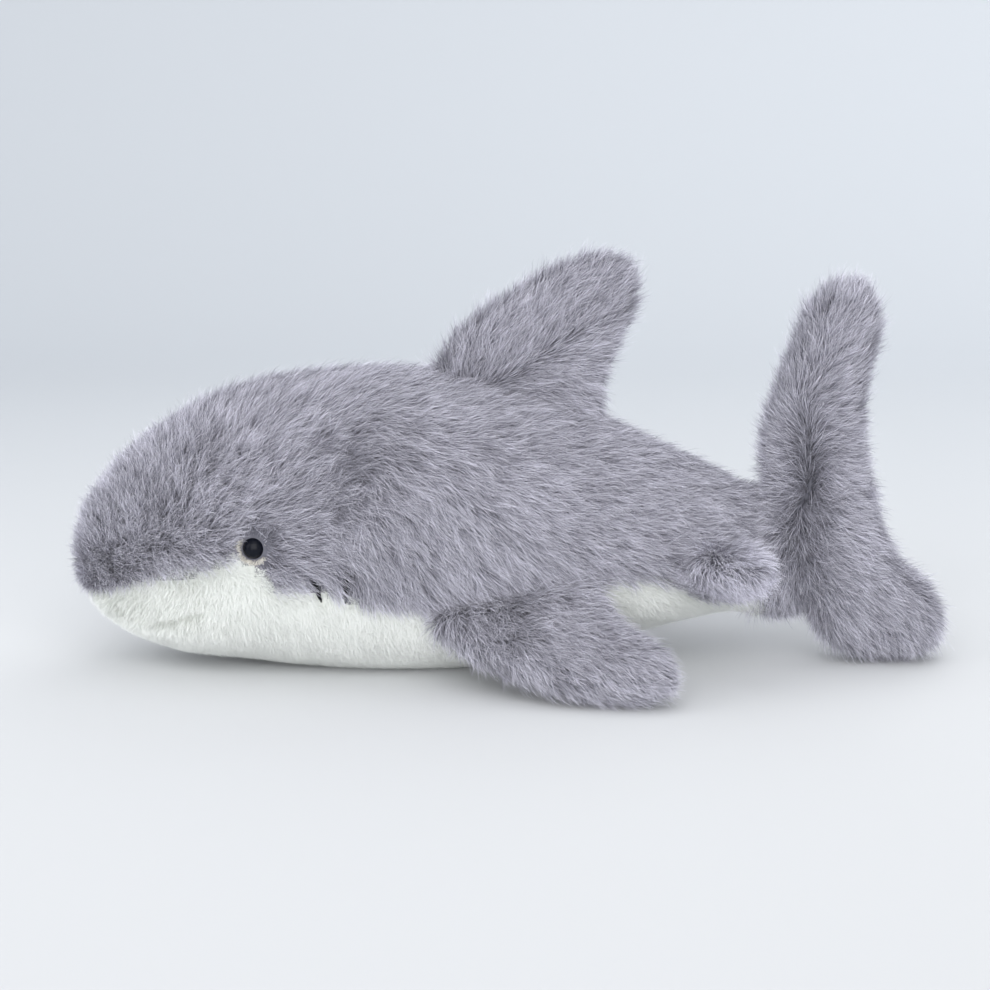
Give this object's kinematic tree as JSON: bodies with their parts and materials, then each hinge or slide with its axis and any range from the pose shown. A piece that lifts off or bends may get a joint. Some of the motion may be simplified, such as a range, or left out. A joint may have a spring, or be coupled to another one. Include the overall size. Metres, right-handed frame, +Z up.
{
  "type": "plush shark",
  "caption": "Soft stuffed shark toy in long grey pile with a white belly, glossy dark eyes, and a tail, back fin, side fins and tall crescent tail fin that flex at their seams.",
  "frame": {"origin": "on the floor, on the belly's flat resting patch and on the plane of symmetry, under the front of the dorsal fin", "axes": "+X from nose to tail, +Y towards the shark's right side, +Z up"},
  "size_m": [0.404, 0.1696, 0.191],
  "materials": {
    "grey_fur": "matte",
    "white_fur": "matte",
    "stuffing": "matte",
    "eye_plastic": "gloss",
    "washer_plastic": "matte",
    "black_thread": "satin",
    "white_thread": "matte"
  },
  "bodies": {
    "body": {"back_panel_left": "grey_fur", "back_panel_right": "grey_fur", "belly_panel": "white_fur", "body_stuffing": "stuffing", "eye_left": "eye_plastic", "eye_right": "eye_plastic", "eye_washer_left": "washer_plastic", "eye_washer_right": "washer_plastic", "gill_stitches_left": "black_thread", "gill_stitches_right": "black_thread", "closing_stitches": "white_thread"},
    "tail": {"tail_panel_left": "grey_fur", "tail_panel_right": "grey_fur", "tail_belly_panel": "white_fur", "tail_stuffing": "stuffing"},
    "caudal_fin": {"caudal_fin_panel_left": "grey_fur", "caudal_fin_panel_right": "grey_fur", "caudal_fin_stuffing": "stuffing"},
    "dorsal_fin": {"dorsal_fin_panel_left": "grey_fur", "dorsal_fin_panel_right": "grey_fur", "dorsal_fin_stuffing": "stuffing"},
    "pectoral_fin_left": {"pectoral_fin_top_panel_left": "grey_fur", "pectoral_fin_bottom_panel_left": "grey_fur", "pectoral_fin_stuffing_left": "stuffing"},
    "pectoral_fin_right": {"pectoral_fin_top_panel_right": "grey_fur", "pectoral_fin_bottom_panel_right": "grey_fur", "pectoral_fin_stuffing_right": "stuffing"},
    "pelvic_fin_left": {"pelvic_fin_top_panel_left": "grey_fur", "pelvic_fin_bottom_panel_left": "grey_fur", "pelvic_fin_stuffing_left": "stuffing"},
    "pelvic_fin_right": {"pelvic_fin_top_panel_right": "grey_fur", "pelvic_fin_bottom_panel_right": "grey_fur", "pelvic_fin_stuffing_right": "stuffing"}
  },
  "joints": [
    {"name": "tail_sway", "type": "hinge", "parent": "body", "child": "tail", "pos_m": [0.118, 0, 0.06], "axis": [0, 0, 1], "range_deg": [-25, 25], "stiffness_Nm_per_rad": 0.15},
    {"name": "caudal_fin_sway", "type": "hinge", "parent": "tail", "child": "caudal_fin", "pos_m": [0.178, 0, 0.052], "axis": [0, 0, 1], "range_deg": [-30, 30], "stiffness_Nm_per_rad": 0.06},
    {"name": "dorsal_fin_sway", "type": "hinge", "parent": "body", "child": "dorsal_fin", "pos_m": [0.00602, 0, 0.1415], "axis": [0.9575, 0, -0.2886], "range_deg": [-35, 35], "stiffness_Nm_per_rad": 0.03},
    {"name": "pectoral_fin_left_flap", "type": "hinge", "parent": "body", "child": "pectoral_fin_left", "pos_m": [-0.00387, -0.05198, 0.02953], "axis": [-0.9823, -0.0749, -0.1719], "range_deg": [-10, 50], "stiffness_Nm_per_rad": 0.03},
    {"name": "pectoral_fin_right_flap", "type": "hinge", "parent": "body", "child": "pectoral_fin_right", "pos_m": [-0.00387, 0.05198, 0.02953], "axis": [0.9823, -0.0749, 0.1719], "range_deg": [-10, 50], "stiffness_Nm_per_rad": 0.03},
    {"name": "pelvic_fin_left_flap", "type": "hinge", "parent": "tail", "child": "pelvic_fin_left", "pos_m": [0.12322, -0.03496, 0.0568], "axis": [-0.9511, -0.3, 0.0732], "range_deg": [-15, 40], "stiffness_Nm_per_rad": 0.01},
    {"name": "pelvic_fin_right_flap", "type": "hinge", "parent": "tail", "child": "pelvic_fin_right", "pos_m": [0.12322, 0.03496, 0.0568], "axis": [0.9511, -0.3, -0.0732], "range_deg": [-15, 40], "stiffness_Nm_per_rad": 0.01}
  ]
}
